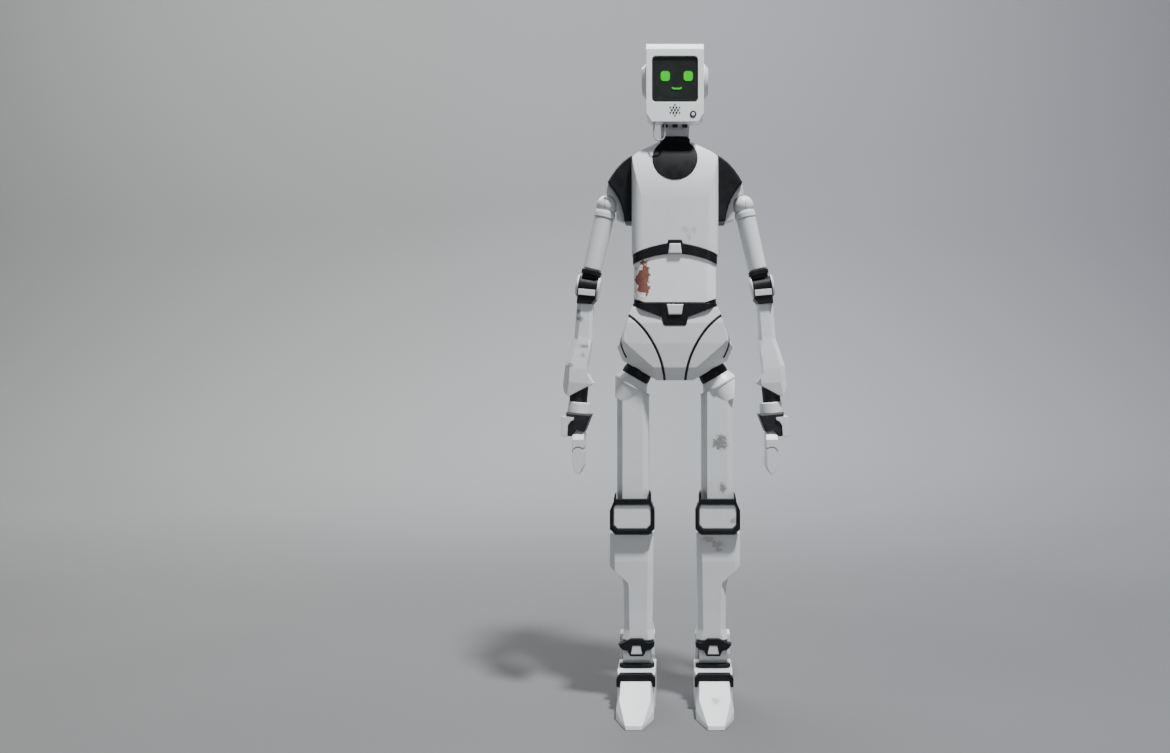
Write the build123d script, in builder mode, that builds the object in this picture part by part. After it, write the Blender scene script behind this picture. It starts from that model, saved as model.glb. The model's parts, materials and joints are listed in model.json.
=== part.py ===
from build123d import *
import os
from math import sin, cos, radians, tan

os.makedirs("parts", exist_ok=True)

# Humanoid robot kit, standing upright on its two soles. Millimetres, +Z up, the
# robot faces -Y, its left side is +X. The body is drawn about its own upright line,
# then set back so that the origin is on the floor in the middle of the footprint.

# ---------------------------------------------------------------- driving sizes
HEIGHT = 644.6          # soles to the crown
HEAD_W = 56.0           # width of the face bezel
HEAD_BOTTOM = 567.0     # underside of the face bezel
SCREEN = 44.6           # square screen opening
SCREEN_Z = 608.5        # centre of the screen
CHEST_HW = 42.5         # half the width of the chest
CHEST_D = 28.0          # half the depth of the chest
WAIST_Z = 391.5         # level of the waist turntable
SHOULDER = (68.0, 0.0, 490.5)
ELBOW = (86.5, 0.0, 409.5)
WRIST = (96.4, 0.0, 298.5)
HIP = (38.5, 0.0, 322.0)
HIP_TILT = 30.0         # lean of the hip cups, outwards
THIGH_X = 41.6          # centre line of the thigh
THIGH_W = 31.2
KNEE = (42.5, 0.0, 181.0)
ANKLE = (37.4, 0.0, 46.0)
GAP = 0.35              # running clearance between moving shells
STAND_Y = 28.2          # the body line stands this far behind the middle of the footprint
WALL = 2.6



def outline(plane, pts):
    """A closed polygon drawn on a plane."""
    with BuildSketch(plane) as drawn:
        with BuildLine():
            Polyline(*pts, close=True)
        make_face()
    return drawn.sketch


def front(y=0.0):
    """Drawing plane seen from the front: x to the robot's left, y up, facing -Y."""
    return Plane(origin=(0, y, 0), x_dir=(1, 0, 0), z_dir=(0, -1, 0))


def side(x=0.0):
    """Drawing plane seen from the side: x is depth, y is height, facing +X."""
    return Plane(origin=(x, 0, 0), x_dir=(0, 1, 0), z_dir=(1, 0, 0))


def across(point):
    """Plane square to X through a point, for pins and hubs along X."""
    return Plane(origin=point, x_dir=(0, 1, 0), z_dir=(1, 0, 0))


# ======================================================================== head
BEZEL_Y = -19.0
AXLE_Z = 588.0
FRONT_Y = -28.0
head_front = [(-22.7, HEAD_BOTTOM), (22.7, HEAD_BOTTOM), (28, 575.2), (28, HEIGHT), (-28, HEIGHT), (-28, 575.2)]
head_inner = [(-21.4, 569.4), (21.4, 569.4), (25.2, 576), (25.2, 642.0), (-25.2, 642.0), (-25.2, 576)]

with BuildPart() as face_bezel:
    extrude(outline(front(BEZEL_Y), head_front), amount=BEZEL_Y - FRONT_Y)
    extrude(outline(side(), [(BEZEL_Y, 560), (FRONT_Y, 560), (FRONT_Y, 637.6), (FRONT_Y + 6.5, HEIGHT), (BEZEL_Y, HEIGHT)]),
            amount=40, both=True, mode=Mode.INTERSECT)
    with BuildSketch(front(FRONT_Y - 1)):
        with Locations((0, SCREEN_Z)):
            RectangleRounded(SCREEN, SCREEN, 3.8)
    extrude(amount=-20, mode=Mode.SUBTRACT)
    with BuildSketch(front(FRONT_Y + 2.6)):
        with Locations((0, SCREEN_Z)):
            RectangleRounded(SCREEN + 3.2, SCREEN + 3.2, 4.8)
    extrude(amount=-20, mode=Mode.SUBTRACT)
    # seat of the push button and of its ring
    with BuildSketch(front(FRONT_Y - 1)):
        with Locations((17.6, 574.2)):
            Circle(3.15)
    extrude(amount=-20, mode=Mode.SUBTRACT)
    # the neck cable leaves through two small holes in the underside
    with BuildSketch(Plane.XY.offset(560)):
        with Locations((-20.0, -24.3), (-10.2, -24.3)):
            Circle(1.5)
    extrude(amount=11.25, mode=Mode.SUBTRACT)

with BuildPart() as head_housing:
    extrude(outline(front(BEZEL_Y), [(x * 0.985, z) for x, z in head_front]), amount=-47)
    extrude(outline(side(), [(BEZEL_Y, HEAD_BOTTOM), (-14, HEAD_BOTTOM), (28, 586), (28, 634), (17, 643.0), (BEZEL_Y, HEIGHT)]),
            amount=40, both=True, mode=Mode.INTERSECT)
    chamfer(head_housing.faces().sort_by(Axis.Y)[-1].edges(), 4.0)
    extrude(outline(front(BEZEL_Y - 1), head_inner), amount=-45.5, mode=Mode.SUBTRACT)
    # floor under the inner space, with the hole that the neck comes through
    extrude(outline(side(), [(BEZEL_Y, HEAD_BOTTOM), (-14, HEAD_BOTTOM), (27, 585.5), (27, 589), (-14, 570), (BEZEL_Y, 570)]),
            amount=24, both=True)
    with BuildSketch(Plane.XY.offset(560)):
        with Locations((0, 1)):
            Rectangle(37, 33)
    extrude(amount=40, mode=Mode.SUBTRACT)
    # pitch axle moulded between the two cheeks
    with BuildSketch(across((-26.0, 2, AXLE_Z))):
        Circle(2.5)
    extrude(amount=52.0)
    extrude(outline(front(60), [(-60, 560), (60, 560), (60, 575.2), (27.6, 575.2), (22.3, 567), (-22.3, 567), (-27.6, 575.2), (-60, 575.2)]),
            amount=120, mode=Mode.SUBTRACT)

with BuildPart() as screen_glass:
    with BuildSketch(front(FRONT_Y + 5.6)):
        with Locations((0, SCREEN_Z)):
            RectangleRounded(SCREEN + 2.8, SCREEN + 2.8, 4.6)
    extrude(amount=3.0)
    with BuildSketch(front(FRONT_Y + 2.6)):
        with Locations((0, SCREEN_Z)):
            RectangleRounded(SCREEN - 0.5, SCREEN - 0.5, 3.5)
    extrude(amount=1.2, taper=8)

with BuildPart() as face_display:
    with BuildSketch(front(FRONT_Y + 1.4)):
        with Locations((-9.4, 611.6), (12.9, 611.6)):
            RectangleRounded(8.9, 9.5, 2.9)
        with Locations((1.8, 599.4)):
            Rectangle(7.0, 1.5)
        with Locations((-2.3, 600.1), (5.9, 600.1)):
            Rectangle(1.4, 1.5)
    extrude(amount=0.5)

with BuildPart() as ear_discs:
    for s in (-1, 1):
        with BuildSketch(Plane(origin=(s * 27.58, 1, 615), x_dir=(0, 1, 0), z_dir=(s, 0, 0))):
            Circle(17.0)
        extrude(amount=1.6)
        with BuildSketch(Plane(origin=(s * 29.18, 1, 615), x_dir=(0, 1, 0), z_dir=(s, 0, 0))):
            Circle(17.0)
        extrude(amount=3.6, taper=48)

# dark inserts of the chin: round sound holes under the screen and the ring of the button
with BuildPart() as chin_inserts:
    with BuildSketch(front(FRONT_Y)):
        with Locations((0, 578.3)):
            Circle(0.95)
            with PolarLocations(3.0, 6):
                Circle(0.95)
            with PolarLocations(5.2, 6, start_angle=30):
                Circle(0.7)
    extrude(amount=0.35)
    with BuildSketch(front(FRONT_Y + 3)):
        with Locations((17.6, 574.2)):
            Circle(3.1)
            Circle(1.95, mode=Mode.SUBTRACT)
    extrude(amount=3.5)

with BuildPart() as power_button:
    with BuildSketch(front(FRONT_Y + 5.5)):
        with Locations((17.6, 574.2)):
            Circle(1.8)
    extrude(amount=6.1)
    fillet(power_button.faces().sort_by(Axis.Y)[0].edges(), 0.5)

with BuildPart() as head_bumpers:
    with BuildSketch(Plane.XY.offset(HEAD_BOTTOM)):
        with Locations((-9.6, -16.9), (0, -16.9), (9.6, -16.9)):
            RectangleRounded(5.4, 3.6, 1.0)
    extrude(amount=-2.4, taper=6)

# free loop of thin cable hanging from the chin, both ends inside the head
CABLE_D = 1.5
cable_route = [(-19.6, -24.2, 571.0), (-20.5, -24.4, 564.7), (-20.6, -24.8, 558.8), (-20.2, -25.1, 552.5),
               (-17.3, -25.3, 549.6), (-13.1, -25.2, 549.5), (-10.2, -25.0, 552.4), (-9.8, -24.8, 558.8),
               (-9.9, -24.4, 564.8), (-10.5, -24.2, 571.0)]
cable_radii = []
for i in range(1, len(cable_route) - 1):
    before = Vector(*cable_route[i]) - Vector(*cable_route[i - 1])
    after = Vector(*cable_route[i + 1]) - Vector(*cable_route[i])
    turn = before.get_angle(after)
    cable_radii.append(0.45 * min(before.length, after.length) / tan(radians(turn / 2)))
print("cable radii", [round(r, 1) for r in cable_radii])
with BuildPart() as neck_cable:
    with BuildLine() as cable_line:
        FilletPolyline(*cable_route, radius=cable_radii)
    with BuildSketch(Plane(origin=cable_route[0], x_dir=(1, 0, 0),
                           z_dir=Vector(*cable_route[1]) - Vector(*cable_route[0]))):
        Circle(CABLE_D / 2)
    sweep()
cable_length = sum(e.length for e in cable_line.edges())
print("cable length", round(cable_length, 1), "volume", round(neck_cable.part.volume, 1),
      "section x length", round(3.14159 * CABLE_D ** 2 / 4 * cable_length, 1))

# ======================================================================== neck
NECK_SEAT = 545.0
with BuildPart() as neck_column:
    with BuildSketch(Plane.XY.offset(NECK_SEAT)):
        Circle(9.0)
    extrude(amount=13.0)
    with BuildSketch(Plane.XY.offset(557.6)):
        with Locations((0, 1)):
            RectangleRounded(27.6, 21, 3)
    with BuildSketch(Plane.XY.offset(570)):
        with Locations((0, 1)):
            RectangleRounded(28.8, 22, 3)
    loft()
    with BuildSketch(Plane.XY.offset(570)):
        with Locations((0, 2)):
            Rectangle(24, 15)
    extrude(amount=AXLE_Z - 570)
    with BuildSketch(across((-12, 2, AXLE_Z))):
        Circle(7.5)
    extrude(amount=24)
    with BuildSketch(across((-20, 2, AXLE_Z))):
        Circle(2.56)
    extrude(amount=40, mode=Mode.SUBTRACT)

# ======================================================================= torso
BAND_TOP = [(-41.2, 438.9), (-38.5, 440.0), (-31, 443.0), (-23.6, 445.4), (-15, 447.5), (-7.4, 449.0), (-6.4, 452.4),
            (6.4, 452.4), (7.4, 449.0), (15, 447.5), (23.6, 445.4), (31, 443.0), (38.5, 440.0), (41.2, 438.9)]
BAND_LOW = [(41.2, 430.0), (38, 430.9), (31, 433.6), (23, 436.0), (15, 437.8), (7.2, 438.8),
            (-7.2, 438.8), (-15, 437.8), (-23, 436.0), (-31, 433.6), (-38, 430.9), (-41.2, 430.0)]


def chest_form(half_w, depth, shrink, radius):
    """Rounded chest volume; shrink pulls the top in for the inner surface."""
    s = shrink
    with BuildPart() as form:
        extrude(outline(front(), [(-half_w, 420), (half_w, 420), (half_w, 530 - s), (half_w - 0.9, 534.6 - s),
                                  (half_w - 3.2, 537.6 - s), (half_w - 6.8, 540.4 - s), (28, 544.6 - s), (20, 548.8 - s),
                                  (15.4, 551.6 - s), (-15.4, 551.6 - s), (-20, 548.8 - s), (-28, 544.6 - s), (6.8 - half_w, 540.4 - s),
                                  (3.2 - half_w, 537.6 - s), (0.9 - half_w, 534.6 - s), (-half_w, 530 - s)]),
                amount=depth, both=True)
        fillet(form.edges().filter_by(Axis.Z), radius)
        with BuildSketch(side()):
            with BuildLine():
                TangentArc((-depth, 492 - s), (-9.5, 557 - s), tangent=(0, 1))
                Line((-9.5, 557 - s), (11, 557 - s))
                TangentArc((depth, 496 - s), (11, 557 - s), tangent=(0, 1))
                Line((depth, 496 - s), (depth, 415))
                Line((depth, 415), (-depth, 415))
                Line((-depth, 415), (-depth, 492 - s))
            make_face()
        extrude(amount=60, both=True, mode=Mode.INTERSECT)
    return form.part


chest_outer = chest_form(CHEST_HW, CHEST_D, 0, 11)
chest_inner = chest_form(CHEST_HW - WALL, CHEST_D - WALL, WALL, 8.4)
above_band = outline(front(70), [(-60, 438.9), (-60, 600), (60, 600), (60, 438.9)] + BAND_TOP[::-1])
DOME_Z, DOME_R = 533.4, 22.0

with BuildPart() as chest_front_shell:
    add(chest_outer)
    add(chest_inner, mode=Mode.SUBTRACT)
    extrude(above_band, amount=140, mode=Mode.INTERSECT)
    split(bisect_by=Plane(origin=(0, 0, 0), x_dir=(1, 0, 0), z_dir=(0, -1, 0)), keep=Keep.TOP)
    with BuildSketch(front(5)):
        with Locations((0, DOME_Z)):
            Circle(DOME_R + 0.05)
        with Locations((0, DOME_Z + 25)):
            Rectangle(29.9, 50)
    extrude(amount=60, mode=Mode.SUBTRACT)

with BuildPart() as chest_back_shell:
    add(chest_outer)
    add(chest_inner, mode=Mode.SUBTRACT)
    extrude(above_band, amount=140, mode=Mode.INTERSECT)
    split(bisect_by=Plane(origin=(0, 0.15, 0), x_dir=(1, 0, 0), z_dir=(0, 1, 0)), keep=Keep.TOP)
    with BuildSketch(Plane.XY.offset(540)):
        Rectangle(29.9, 28.2)
    extrude(amount=30, mode=Mode.SUBTRACT)
    # cooling slots and the battery hatch groove in the back
    with BuildSketch(front(20)):
        with GridLocations(0, 6, 1, 4):
            with Locations((0, 505)):
                SlotOverall(34, 2.4)
    extrude(amount=-20, mode=Mode.SUBTRACT)

# dark dome that the neck turns in
with BuildPart() as neck_socket:
    add(chest_form(CHEST_HW + 0.6, CHEST_D + 0.6, -0.3, 11))
    with BuildSketch(front(-6)):
        with Locations((0, DOME_Z)):
            Circle(DOME_R)
    extrude(amount=40, mode=Mode.INTERSECT)
    with BuildSketch(Plane.XY.offset(528)):
        RectangleRounded(29.6, 27.6, 6)
    extrude(amount=27.0)
    with BuildSketch(Plane.XY.offset(555)):
        RectangleRounded(26.2, 24, 7)
    extrude(amount=2.0)
    with BuildSketch(Plane.XY.offset(NECK_SEAT - 0.3)):
        Circle(9.08)
    extrude(amount=40, mode=Mode.SUBTRACT)

with BuildPart() as torso_band_form:
    add(chest_form(CHEST_HW - 1.2, CHEST_D + 0.9, 0, 11))
with BuildPart() as waist_band:
    add(torso_band_form.part)
    extrude(outline(front(70), BAND_TOP + BAND_LOW), amount=140, mode=Mode.INTERSECT)
    with BuildSketch(Plane.XY.offset(420)):
        Rectangle(66, 42)
    extrude(amount=40, mode=Mode.SUBTRACT)
    # seat of the buckle
    extrude(outline(front(-26), [(-6.6, 439.0), (-5.3, 448.8), (5.3, 448.8), (6.6, 439.0)]), amount=20, mode=Mode.SUBTRACT)

with BuildPart() as waist_buckle:
    extrude(outline(front(-26), [(-6.6, 439.0), (-5.3, 448.8), (5.3, 448.8), (6.6, 439.0)]), amount=4.4)
    chamfer(waist_buckle.faces().sort_by(Axis.Y)[0].edges(), 0.8)

belly_outline = [(-41, 396.2), (-29.4, WAIST_Z + 0.4), (29.4, WAIST_Z + 0.4), (41, 396.2)] + BAND_LOW
with BuildPart() as belly_plate:
    add(chest_form(CHEST_HW - 2.0, CHEST_D - 0.3, 0, 11))
    with BuildSketch(Plane.XY.offset(380)):
        RectangleRounded(2 * CHEST_HW - 4, 2 * CHEST_D - 0.6, 11)
    extrude(amount=45)
    extrude(outline(front(70), belly_outline), amount=140, mode=Mode.INTERSECT)
    with BuildSketch(Plane.XY.offset(380)):
        RectangleRounded(2 * CHEST_HW - 4 - 2 * WALL, 2 * CHEST_D - 0.6 - 2 * WALL, 8.4)
    extrude(amount=70, mode=Mode.SUBTRACT)

# wedges that close the bevelled lower corners of the belly plate
with BuildPart() as corner_wedges:
    with BuildSketch(Plane.XY.offset(WAIST_Z + 0.4)):
        RectangleRounded(2 * CHEST_HW - 4.4, 2 * CHEST_D - 1.0, 11)
    extrude(amount=5)
    extrude(outline(front(70), [(29.8, WAIST_Z), (41, WAIST_Z), (41, 396.1), (29.8, 391.95)]), amount=140, mode=Mode.INTERSECT)
    mirror(about=Plane.YZ)

# inner frame: turntable plate with its spigot, spine and battery tray
with BuildPart() as torso_frame:
    with BuildSketch(Plane.XY.offset(WAIST_Z + 0.4)):
        RectangleRounded(2 * CHEST_HW - 9.6, 2 * CHEST_D - 6.2, 8)
    extrude(amount=3.2)
    add(corner_wedges.part)
    with BuildSketch(Plane.XY.offset(WAIST_Z + 0.4)):
        Circle(12)
    extrude(amount=-9)
    with BuildSketch(Plane.XY.offset(WAIST_Z + 3)):
        with Locations((0, 17)):
            RectangleRounded(30, 8, 2)
    extrude(amount=132)
    with BuildSketch(Plane.XY.offset(463)):
        Rectangle(60, 41)
    extrude(amount=2.5)

with BuildPart() as battery_pack:
    with BuildSketch(Plane.XY.offset(465.5)):
        with Locations((0, -2)):
            RectangleRounded(52, 26, 3)
    extrude(amount=40)
    fillet(battery_pack.faces().sort_by(Axis.Z)[-1].edges(), 2)

# ------------------------------------------------- shoulder brackets and pods
gusset_pts = [(CHEST_HW, 472.6), (CHEST_HW, 538.0), (46, 536.0), (52, 531.2), (58, 524.6), (63, 517.4), (66.4, 511.6),
              (59.8, 502.8), (55.8, 496.2), (53.2, 490.0), (50.8, 481.0), (49.6, 473.0)]
pod_pts = [(66.4, 511.6), (67.9, 506), (68.2, 499), (67.0, 492), (58.6, 489), (58.2, 476.6), (49.6, 473.0), (50.8, 481.0), (53.2, 490.0), (55.8, 496.2), (59.8, 502.8)]
SH = SHOULDER
BALL_R = 10.5
with BuildPart() as shoulder_gussets:
    extrude(outline(front(), gusset_pts), amount=14.5, both=True)
    chamfer(shoulder_gussets.faces().sort_by(Axis.Y)[0].edges().filter_by(lambda e: e.center().X > CHEST_HW + 0.5), 1.4)
    chamfer(shoulder_gussets.faces().sort_by(Axis.Y)[-1].edges().filter_by(lambda e: e.center().X > CHEST_HW + 0.5), 1.4)
    # bore for the shoulder axle
    with BuildSketch(across((46, SH[1], SH[2]))):
        Circle(3.07)
    extrude(amount=14, mode=Mode.SUBTRACT)
    mirror(about=Plane.YZ)

with BuildPart() as shoulder_pods:
    extrude(outline(front(8), pod_pts), amount=12.6)
    with Locations(SH):
        Sphere(BALL_R + GAP, mode=Mode.SUBTRACT)
    with BuildSketch(across((52, SH[1], SH[2]))):
        Circle(3.07)
    extrude(amount=16, mode=Mode.SUBTRACT)
    mirror(about=Plane.YZ)

# ======================================================================== arms
ARM_TILT = 12.87
FORE_TILT = 5.1


def limb(point, tilt, along=0.0):
    """Plane across a limb of the left side: x outwards, y to the front, z down the limb."""
    t = radians(tilt)
    return Plane(origin=(point[0] + along * sin(t), point[1], point[2] - along * cos(t)),
                 x_dir=(cos(t), 0, sin(t)), z_dir=(sin(t), 0, -cos(t)))


def limb_front(point, tilt, out):
    """Front drawing plane of a limb: x outwards, y up the limb, facing the front."""
    t = radians(tilt)
    return Plane(origin=(point[0], point[1] - out, point[2]), x_dir=(cos(t), 0, sin(t)), z_dir=(0, -1, 0))


def limb_side(point, tilt):
    """Side drawing plane of a limb: x to the back, y up the limb."""
    t = radians(tilt)
    return Plane(origin=point, x_dir=(0, 1, 0), z_dir=(cos(t), 0, sin(t)))


ELBOW_TILT = 9.0
et = radians(ELBOW_TILT)
elbow_axis = (cos(et), 0, sin(et))

with BuildPart() as shoulder_ball_left:
    # half section with the parting groove, turned about the pitch axis
    with BuildSketch(Plane(origin=SH, x_dir=(1, 0, 0), z_dir=(0, -1, 0))):
        Circle(BALL_R)
        with Locations((0, -BALL_R)):
            Rectangle(3 * BALL_R, 2 * BALL_R, mode=Mode.SUBTRACT)
        with Locations((1.6, BALL_R)):
            Rectangle(0.6, 1.3, mode=Mode.SUBTRACT)
    revolve(axis=Axis(SH, (1, 0, 0)))
    with BuildSketch(across((SH[0] - 21.0, SH[1], SH[2]))):
        Circle(3.0)
    extrude(amount=15.4)

with BuildPart() as upper_arm_left:
    with BuildSketch(limb(SH, ARM_TILT, 5.8)):
        Circle(9.7)
    extrude(amount=2.4, taper=-15)
    with BuildSketch(limb(SH, ARM_TILT, 8.2)):
        Circle(10.34)
    extrude(amount=4.4)
    with Locations(SH):
        Sphere(BALL_R + GAP, mode=Mode.SUBTRACT)
    with BuildSketch(limb(SH, ARM_TILT, 12.6)):
        Circle(9.0)
    extrude(amount=1.2)
    with BuildSketch(limb(SH, ARM_TILT, 13.8)):
        Circle(9.8)
    extrude(amount=51.7, taper=0.6)
    fillet(upper_arm_left.edges().filter_by(GeomType.CIRCLE).sort_by(Axis.Z)[:1], 1.0)
    for s in (-1, 1):
        with BuildSketch(Plane(origin=(ELBOW[0] + s * 9.4 * cos(et), 0, ELBOW[2] + s * 9.4 * sin(et)),
                               x_dir=(0, 1, 0), z_dir=(s * cos(et), 0, s * sin(et)))):
            Circle(11.2)
        extrude(amount=0.9)
        with BuildSketch(Plane(origin=(ELBOW[0] + s * 10.3 * cos(et), 0, ELBOW[2] + s * 10.3 * sin(et)),
                               x_dir=(0, 1, 0), z_dir=(s * cos(et), 0, s * sin(et)))):
            Circle(11.2)
        extrude(amount=1.5, taper=45)

hub_plane = Plane(origin=(ELBOW[0] - 9.4 * cos(et), 0, ELBOW[2] - 9.4 * sin(et)), x_dir=(0, 1, 0), z_dir=elbow_axis)
with BuildPart() as elbow_hub_left:
    with BuildSketch(hub_plane):
        Circle(9.5)
    extrude(amount=18.8)
    with BuildSketch(limb(SH, ARM_TILT, 69.0)):
        Rectangle(16.6, 9.0)
    extrude(amount=11)
    with BuildSketch(limb(SH, ARM_TILT, 66.6)):
        with BuildLine():
            Polyline((-9.6, -5), (-6, -9), (6, -9), (9.6, -5), (9.6, 5), (6, 9), (-6, 9), (-9.6, 5), close=True)
        make_face()
    extrude(amount=4.4)

with BuildPart() as forearm_collar_left:
    extrude(outline(limb_front(ELBOW, FORE_TILT, -11.2),
                    [(-8.8, -3.0), (8.9, -3.0), (9.2, -17.5), (-5.0, -17.5), (-8.8, -12.4)]), amount=22.4)
    with BuildSketch(hub_plane):
        Circle(9.5 + GAP)
    extrude(amount=18.8, mode=Mode.SUBTRACT)
    for s in (-1, 1):
        with BuildSketch(Plane(origin=(ELBOW[0] + s * 9.05 * cos(et), 0, ELBOW[2] + s * 9.05 * sin(et)),
                               x_dir=(0, 1, 0), z_dir=(s * cos(et), 0, s * sin(et)))):
            Circle(11.6)
        extrude(amount=4, mode=Mode.SUBTRACT)

with BuildPart() as forearm_left:
    extrude(outline(limb_front(ELBOW, FORE_TILT, -12.0),
                    [(9.4, -17.5), (9.0, -53), (12.6, -68), (15.3, -80), (15.9, -101), (13.6, -107), (9.5, -110.4), (8.9, -110.4),
                     (-14.0, -95.5), (-6.9, -86), (-6.6, -77), (-8.5, -53), (-6.8, -17.5)]), amount=24.0)
    extrude(outline(limb_side(ELBOW, FORE_TILT),
                    [(-8.6, -17.5), (-9.0, -50), (-11.6, -82), (-11.8, -96), (-9.8, -115), (9.8, -115), (11.8, -96), (11.6, -82),
                     (9.0, -50), (8.6, -17.5)]), amount=60, both=True, mode=Mode.INTERSECT)
    # bevelled corners all along the limb
    for along, reach in ((16.5, 13.2), (53, 14.0), (80, 22.0), (116, 21.0)):
        with BuildSketch(limb(ELBOW, FORE_TILT, along)):
            with BuildLine():
                Polyline((-reach, 0), (0, -reach), (reach, 0), (0, reach), close=True)
            make_face()
    loft(ruled=True, mode=Mode.INTERSECT)
    with BuildSketch(limb(ELBOW, FORE_TILT, 97.0)):
        Circle(9.3)
    extrude(amount=20, mode=Mode.SUBTRACT)
    # light band over the front of the elbow cuff
    extrude(outline(limb_front(ELBOW, FORE_TILT, 11.2),
                    [(-8.2, -3.4), (8.4, -3.4), (8.6, -9.4), (-8.2, -9.4)]), amount=1.3)

with BuildPart() as palm_left:
    with BuildSketch(limb(ELBOW, FORE_TILT, 97.3)):
        Circle(8.9)
    extrude(amount=18.0)
    extrude(outline(limb_front(ELBOW, FORE_TILT, -13.2),
                    [(-15.0, -126.2), (9.9, -126.2), (8.4, -136), (6.9, -147), (3.6, -153), (-5.6, -153), (-10.0, -143.5)]), amount=26.4)
    chamfer(palm_left.edges().filter_by(lambda e: abs(e.center().Y) > 12 and e.center().Z > 256 and e.length > 6), 1.5)

KNUCKLE = (95.4, 0.0, 261.0)
TIP_PIVOT = (95.4, 0.0, 245.4)
with BuildPart() as finger_swing:
    with BuildSketch(front(30)):
        with Locations((KNUCKLE[0], KNUCKLE[2])):
            Circle(6.2)
        with Locations((KNUCKLE[0], KNUCKLE[2] - 15)):
            Rectangle(40, 30)
    extrude(amount=60)
    # wedge swept by a fully curled finger
    ct, st = cos(radians(71)), sin(radians(71))
    extrude(outline(front(30), [(KNUCKLE[0], KNUCKLE[2]), (KNUCKLE[0] - 6.0 * ct, KNUCKLE[2] + 6.0 * st),
                                (KNUCKLE[0] - 6.0 * ct - 30 * st, KNUCKLE[2] + 6.0 * st - 30 * ct),
                                (KNUCKLE[0] - 30, KNUCKLE[2] - 20), (KNUCKLE[0], KNUCKLE[2] - 20)]), amount=60)
with BuildPart() as palm_cut:
    add(palm_left.part)
    add(finger_swing.part, mode=Mode.SUBTRACT)
palm_left = palm_cut

# guard wrapped over the back of the hand
with BuildPart() as hand_guard:
    extrude(outline(limb_front(ELBOW, FORE_TILT, -14.6),
                    [(13.7, -130.4), (1.4, -130.4), (1.5, -133.0), (4.4, -134.8), (6.6, -138.6), (6.5, -147),
                     (5.4, -154.6), (11.0, -155.6), (12.4, -147)]), amount=29.2)
    extrude(outline(limb_front(ELBOW, FORE_TILT, -13.2),
                    [(-15.0, -126.2), (9.9, -126.2), (8.4, -136), (6.9, -147), (4.0, -160), (-20, -160)]), amount=26.4, mode=Mode.SUBTRACT)
    add(finger_swing.part, mode=Mode.SUBTRACT)
with BuildPart() as wrist_band_left:
    with BuildSketch(limb(ELBOW, FORE_TILT, 126.2)):
        with Locations((-1.6, 0)):
            Circle(11.6)
    extrude(amount=-10.9, taper=3)
    chamfer(wrist_band_left.edges().filter_by(GeomType.CIRCLE).sort_by(Axis.Z)[-1:], 1.0)
    add(hand_guard.part)

FINGER_ROWS = [(-16.6, -7.2), (-6.5, -0.4), (0.4, 6.5), (7.2, 13.2)]
with BuildPart() as fingers_left:
    for y0, y1 in FINGER_ROWS:
        kx, kz, tx, tz = KNUCKLE[0], KNUCKLE[2], TIP_PIVOT[0], TIP_PIVOT[2]
        with BuildSketch(front(y1)):
            with Locations((kx, kz)):
                Circle(5.7)
            with Locations((kx, (kz + tz) / 2)):
                Rectangle(11.2, kz - tz)
            with Locations((tx, tz)):
                Circle(5.5, mode=Mode.SUBTRACT)
            with Locations((tx - 5.6, tz)):
                Rectangle(7, 9.0, mode=Mode.SUBTRACT)
        extrude(amount=y1 - y0)
    extrude(outline(side(KNUCKLE[0] - 20), [(-17, 257.5), (-17, 268), (-7.5, 268)]), amount=40, mode=Mode.SUBTRACT)

with BuildPart() as fingertips_left:
    for y0, y1 in FINGER_ROWS:
        tx, tz = TIP_PIVOT[0], TIP_PIVOT[2]
        with BuildSketch(front(y1 - 0.3)):
            with Locations((tx, tz)):
                Circle(5.1)
            with BuildLine():
                Polyline((tx - 5.1, tz), (tx + 5.1, tz), (tx + 5.1, tz - 13), (tx + 2.6, tz - 20), (tx - 1.2, tz - 21.5), (tx - 5.1, tz - 14), close=True)
            make_face()
        extrude(amount=y1 - y0 - 0.6)

# ====================================================================== pelvis
def both_sides(half):
    return half + [(-x, z) for x, z in half[::-1][1:-1]]


pelvis_pts = both_sides([(0, 391.2), (40.6, 391.2), (45.6, 380), (53.6, 357.6), (57.0, 349.0), (51.2, 334.6),
                         (46.6, 333.2), (24.6, 318.0), (22.0, 316.2), (0, 316.2)])
pelvis_face = both_sides([(0, 391.2), (40.6, 391.2), (44.8, 380), (49.8, 360), (50.4, 355.4), (46.0, 350.6),
                          (42.0, 347.4), (20.0, 329.0), (13.0, 326.6), (0, 326.6)])
BELT_LOW = [(-41.4, 391.3), (-41.4, 389.6), (-37.5, 387.4), (-12.6, 377.6), (-11.2, 370.6), (-9.6, 369.4),
            (9.6, 369.4), (11.2, 370.6), (12.6, 377.6), (37.5, 387.4), (41.4, 389.6), (41.4, 391.3)]
PELVIS_SIDE = [(-24.5, 391.2), (-28.2, 372), (-28.6, 352), (-27.4, 328.6), (-15.5, 316.2), (15, 316.2), (24, 331), (29, 350), (28.6, 370), (25, 391.2)]


def hip_plane(along):
    """Plane square to the tilted hip axis of the left side, measured outwards from the hip ball."""
    t = radians(HIP_TILT)
    return Plane(origin=(HIP[0] + along * sin(t), 0, HIP[2] - along * cos(t)), x_dir=(cos(t), 0, sin(t)), z_dir=(sin(t), 0, -cos(t)))


HIP_R = 14.5
with BuildPart() as hip_space:
    with Locations(HIP):
        Sphere(HIP_R + GAP)
    with BuildSketch(hip_plane(-5.4)):
        Circle(24)
    extrude(amount=40)
    mirror(about=Plane.YZ)
with BuildPart() as pelvis_form:
    extrude(outline(front(), pelvis_pts), amount=12, both=True)
    loft([outline(front(-12), pelvis_pts), outline(front(-28.6), pelvis_face)], ruled=True)
    loft([outline(front(12), pelvis_pts), outline(front(28.6), pelvis_face)], ruled=True)
    extrude(outline(side(), PELVIS_SIDE), amount=80, both=True, mode=Mode.INTERSECT)


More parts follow.
